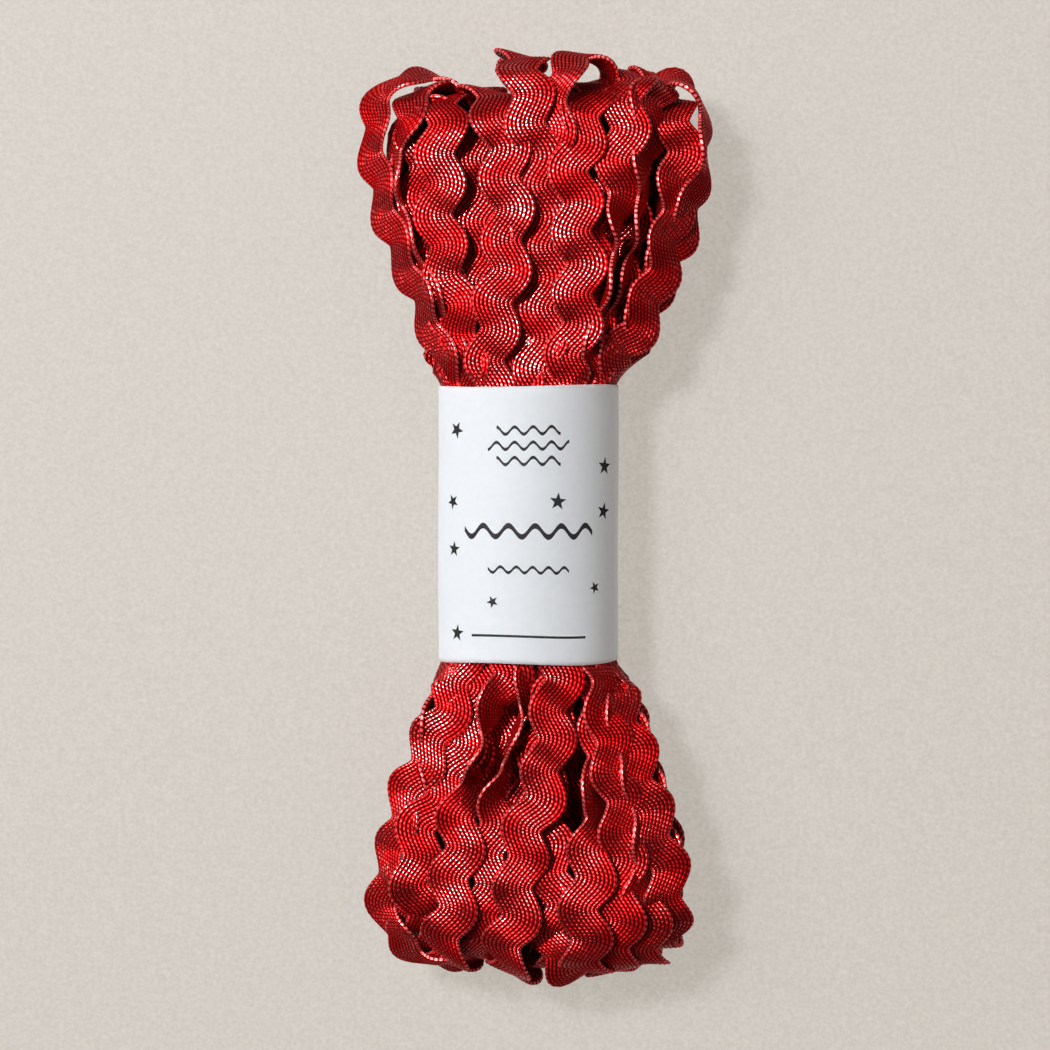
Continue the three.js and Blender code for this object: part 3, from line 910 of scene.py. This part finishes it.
def band_mesh():
    """A grid of paper that starts underneath, goes all the way round and laps over itself."""
    turn, along = np.meshgrid(
        np.linspace(0, 2 * math.pi + LAP, BAND_STEPS_ROUND),
        np.linspace(0, 1, BAND_STEPS_ALONG), indexing="ij")
    angle = -math.pi / 2 - LAP / 2 + turn
    lapped = np.clip((turn - 2 * math.pi + LAP_RAMP) / LAP_RAMP, 0, 1)
    press = PRESS * np.sin(3 * angle + 5 * along) * np.sin(2 * angle - 3 * along)
    out = -PAPER * 1.4 + 1.6 * PAPER * lapped + press
    x = WAIST_X + (BAND_HALF_WIDTH + out) * np.cos(angle)
    z = WAIST_Z + (BAND_HALF_HEIGHT + out) * np.sin(angle)
    waver = EDGE_WAVER * (np.sin(2 * angle + 0.7) * along + np.sin(3 * angle + 2.0) * (1 - along))
    y = BAND_BOTTOM + (BAND_TOP - BAND_BOTTOM) * along + waver
    n = BAND_STEPS_ALONG
    faces = [(i * n + j, (i + 1) * n + j, (i + 1) * n + j + 1, i * n + j + 1)
             for i in range(BAND_STEPS_ROUND - 1) for j in range(n - 1)]
    mesh = bpy.data.meshes.new("paper_band_print")
    mesh.from_pydata(np.stack([x, y, z], -1).reshape(-1, 3).tolist(), [], faces)
    store(mesh, "round", paper_round(angle).reshape(-1))
    store(mesh, "along", ((along - 0.5) * (BAND_TOP - BAND_BOTTOM)).reshape(-1))
    return mesh


wrapped_paper = band_mesh()
print("band faces:", len(wrapped_paper.polygons))

# %% [markdown]
# ## The print: where things go
# The paper carries a plain print in near-black ink: small five-pointed stars in rows that drop
# by half a step from column to column, and in the front a stack of waves, two zigzag lines and a
# rule. Each of those has a clear panel round it. All places are in mm from the band's middle.

# %% Lay out the print
STAR_ACROSS = 9.4 * MM
STAR_ALONG = 12.0 * MM
STAR_SIZE = 1.65 * MM
LAST_STAR = 21.4 * MM
# Middle, half height and half width of each clear panel.
CLEAR = [(13.6, 5.8, 9.6), (-1.0, 3.6, 14.2), (-7.6, 3.0, 9.6), (-19.0, 2.6, 12.6)]
# Middle, half width, half thickness, swing and pitch of each line.
MARKS = [
    (16.2, 5.6, 0.28, 0.62, 3.2), (13.6, 7.2, 0.28, 0.62, 3.2), (11.0, 5.6, 0.28, 0.62, 3.2),
    (-1.0, 11.8, 0.48, 0.95, 4.6), (-7.6, 7.2, 0.26, 0.5, 2.8), (-19.0, 10.4, 0.20, 0.0, 1.0)]
print("lines on the band:", len(MARKS), "clear panels:", len(CLEAR))

# %% [markdown]
# ## The stars
# The paper is divided into cells with one star in each, a little out of place, turned and sized
# by chance. A star is found with one fold: its angle is folded into a tenth of a turn, where its
# edge is a single straight line. A star whose middle falls in a clear panel or near an edge of
# the paper is left out whole, so none is cut.

# %% Nodes for the stars
STAR_WAIST, STAR_SLOPE = 0.235, 0.676


def star_ink(tree, m, x, y, star_size):
    column = m.divide(x, STAR_ACROSS)
    column_number = m.floor(column)
    drop = m.multiply(m.floored_modulo(column_number, 2.0), 0.5)
    row = m.add(m.divide(y, STAR_ALONG), drop)
    row_number = m.floor(row)
    cell = add_node(tree, "ShaderNodeCombineXYZ", {"X": column_number, "Y": row_number})
    noise = add_node(tree, "ShaderNodeTexWhiteNoise", {
        "Vector": cell.outputs[0]}, noise_dimensions="3D").outputs
    chance = add_node(tree, "ShaderNodeSeparateColor", {"Color": noise["Color"]}).outputs

    def off_middle(place, number, chance, pitch):
        return m.multiply(m.subtract(m.subtract(place, number), m.multiply_add(chance, 0.4, 0.3)), pitch)

    off_x = off_middle(column, column_number, chance[0], STAR_ACROSS)
    off_y = off_middle(row, row_number, chance[1], STAR_ALONG)
    radius = m.sqrt(m.add(m.multiply(off_x, off_x), m.multiply(off_y, off_y)))
    angle = m.multiply_add(chance[2], 1.2, m.arctan2(off_y, off_x))
    folded = m.pingpong(angle, math.pi / 5)
    edge = m.add(m.multiply(m.cosine(folded), STAR_WAIST), m.multiply(m.sine(folded), STAR_SLOPE))
    size = m.multiply(star_size, m.multiply_add(noise["Value"], 0.5, 0.65))
    ink = m.less_than(m.multiply(radius, edge), m.multiply(size, STAR_WAIST))

    star_x, star_y = m.absolute(m.subtract(x, off_x)), m.subtract(y, off_y)
    ink = m.multiply(ink, m.less_than(m.absolute(star_y), LAST_STAR))
    for middle, half_height, half_width in CLEAR:
        in_height = m.less_than(m.absolute(m.subtract(star_y, middle * MM)), half_height * MM)
        in_width = m.less_than(star_x, half_width * MM)
        ink = m.multiply(ink, m.subtract(1.0, m.multiply(in_height, in_width)))
    return ink


# %% [markdown]
# ## The lines
# A line is a wave with a width, and the rule is a wave that doesn't swing. The whole print is one
# node group that puts out ink, 0 or 1, from how far round and along the paper a point is.

# %% Build the print
def line_ink(m, x, y, middle, half_width, half_thickness, swing, pitch):
    wave = m.sine(m.multiply(x, 2 * math.pi / (pitch * MM)))
    off_line = m.absolute(m.subtract(y, m.multiply_add(wave, swing * MM, middle * MM)))
    in_width = m.less_than(m.absolute(x), half_width * MM)
    return m.multiply(m.less_than(off_line, half_thickness * MM), in_width)


def build_band_print():
    tree, m, given, result = new_tree("Band print", "ShaderNodeTree", [
        ("Star Size", FLOAT, STAR_SIZE)], [("Ink", FLOAT)])
    x, y = measure(tree, "round"), measure(tree, "along")
    ink = star_ink(tree, m, x, y, given["Star Size"])
    for mark in MARKS:
        ink = m.maximum(ink, line_ink(m, x, y, *mark))
    fill(tree, result.inputs, {"Ink": ink})
    return tree


band_print = build_band_print()
print("print nodes:", len(band_print.nodes))

# %% [markdown]
# ## The finish of the paper
# The paper is matt and slightly cool, with a fine fibre that changes its tone, its gloss and its
# relief. The ink takes a little of the fibre too. Paper has two faces, so the sheet is given its
# thickness here, and the strip becomes a thin closed wall.

# %% Finish the band
INK = (0.006, 0.005, 0.010, 1)
PAPER_SHADE, PAPER_LIGHT = (0.85, 0.89, 0.93, 1), (0.92, 0.95, 0.98, 1)


def fine_noise(tree, scale, detail):
    """A fine random grain all over an object, about 0 to 1."""
    place = tree.nodes.new("ShaderNodeTexCoord").outputs["Object"]
    return add_node(tree, "ShaderNodeTexNoise", {
        "Vector": place, "Scale": scale, "Detail": detail}).outputs["Fac"]


def paper_finish():
    finish, tree, m, shader = new_finish("White paper")
    fibre = fine_noise(tree, 900.0, 4.0)
    printed = add_node(tree, "ShaderNodeGroup", node_tree=band_print).outputs["Ink"]
    ink = m.multiply(printed, m.multiply_add(fibre, 0.04, 0.965))
    bump = add_node(tree, "ShaderNodeBump", {"Height": fibre, "Strength": 0.25, "Distance": 0.05 * MM})
    fill(tree, shader, {
        "Base Color": color_mix(tree, ink, color_mix(tree, fibre, PAPER_SHADE, PAPER_LIGHT), INK),
        "Roughness": m.multiply_add(fibre, 0.15, 0.70),
        "Normal": bump.outputs[0], "Specular IOR Level": 0.12})
    return finish


band = put("printed_band", wrapped_paper)
wrapped_paper.materials.append(paper_finish())
wrapped_paper.shade_smooth()
wall = band.modifiers.new("Wall", "SOLIDIFY")
wall.thickness = PAPER
wall.offset = 0
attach(band, "root")
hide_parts("paper_band")
print("band finish:", wrapped_paper.materials[0].name)

# %% [markdown]
# ## The floor
# The hank lies on warm pale card. Card lit from all around hardly darkens under an object, so
# most of its tone is a soft glow of its own, and the little that is lit carries the shadow.

# %% Lay the floor
FLOOR_HALF, FLOOR_Z = 2.0, -0.0002
CARD_SHADE, CARD_LIGHT = (0.060, 0.057, 0.051, 1), (0.084, 0.078, 0.072, 1)
GLOW_SHADE, GLOW_LIGHT = (0.42, 0.39, 0.35, 1), (0.62, 0.575, 0.525, 1)


def card_finish():
    finish, tree, _, shader = new_finish("Warm card")
    grain = fine_noise(tree, 1500.0, 3.0)
    fill(tree, shader, {
        "Base Color": color_mix(tree, grain, CARD_SHADE, CARD_LIGHT), "Roughness": 0.9,
        "Emission Color": color_mix(tree, grain, GLOW_SHADE, GLOW_LIGHT), "Emission Strength": 0.99})
    return finish


floor_mesh = bpy.data.meshes.new("floor")
floor_mesh.from_pydata([(x * FLOOR_HALF, y * FLOOR_HALF, FLOOR_Z) for x, y in (
    (-1, -1), (1, -1), (1, 1), (-1, 1))], [], [(0, 1, 2, 3)])
floor_mesh.materials.append(card_finish())
floor = put("floor", floor_mesh)
print("floor side, m:", 2 * FLOOR_HALF)

# %% [markdown]
# ## The light
# One large soft light to the left casts most of the light, and a wide weak one on the right opens
# the shadows. The flashes on the film are as small as the light that they mirror, so they get a
# small light of their own, which shows in gloss only and adds nothing else.

# %% Set the lights
def area_light(name, place, width, power, colour, diffuse=True, glossy=True):
    light = bpy.data.lights.new(name, "AREA")
    light.shape = "RECTANGLE"
    light.size = light.size_y = width
    light.energy = power
    light.color = colour
    lamp = put(name, light)
    lamp.location = place
    lamp.rotation_mode = "QUATERNION"
    lamp.rotation_quaternion = Vector(place).to_track_quat("Z", "Y")
    lamp.visible_diffuse = diffuse
    lamp.visible_glossy = glossy


area_light("Key", (-0.85, 0.42, 1.05), 0.66, 17.0, (0.97, 0.98, 1.0), glossy=False)
area_light("Fill", (0.60, -0.2, 1.2), 1.0, 4.4, (1.0, 0.94, 0.86), glossy=False)
area_light("Glint", (-0.28, 0.24, 0.70), 0.11, 50.0, (1.0, 0.98, 0.96), diffuse=False)
world = bpy.data.worlds.new("Studio")
world.use_nodes = True
surround = world.node_tree.nodes["Background"].inputs
surround["Color"].default_value = (0.95, 0.97, 1.0, 1)
surround["Strength"].default_value = 0.05
bpy.context.scene.world = world
bpy.context.scene.view_settings.view_transform = "Standard"
bpy.context.scene.view_settings.gamma = 0.9

# %% [markdown]
# ## The camera
# The photograph looks almost straight down on the hank. The camera hangs over the middle of the
# picture, tilted by the little that shows more of the upper ends than of the lower ones.

# %% Place the camera
VIEW_HEIGHT = 420 * MM
VIEW_MIDDLE = Vector((-2.2 * MM, -1.2 * MM, 20 * MM))
VIEW_HALF_WIDTH = 90.3 * MM
VIEW_TILT = math.radians(2.0)

camera_data = bpy.data.cameras.new("Camera")
camera_data.sensor_width = 36
camera_data.lens = camera_data.sensor_width / 2 * VIEW_HEIGHT / VIEW_HALF_WIDTH
camera = put("Camera", camera_data)
camera.rotation_mode = "XYZ"
camera.location = VIEW_MIDDLE + VIEW_HEIGHT * Vector((0, math.sin(VIEW_TILT), math.cos(VIEW_TILT)))
camera.rotation_euler = (-VIEW_TILT, 0, 0)
bpy.context.scene.camera = camera
print("lens, mm:", round(camera_data.lens, 1))
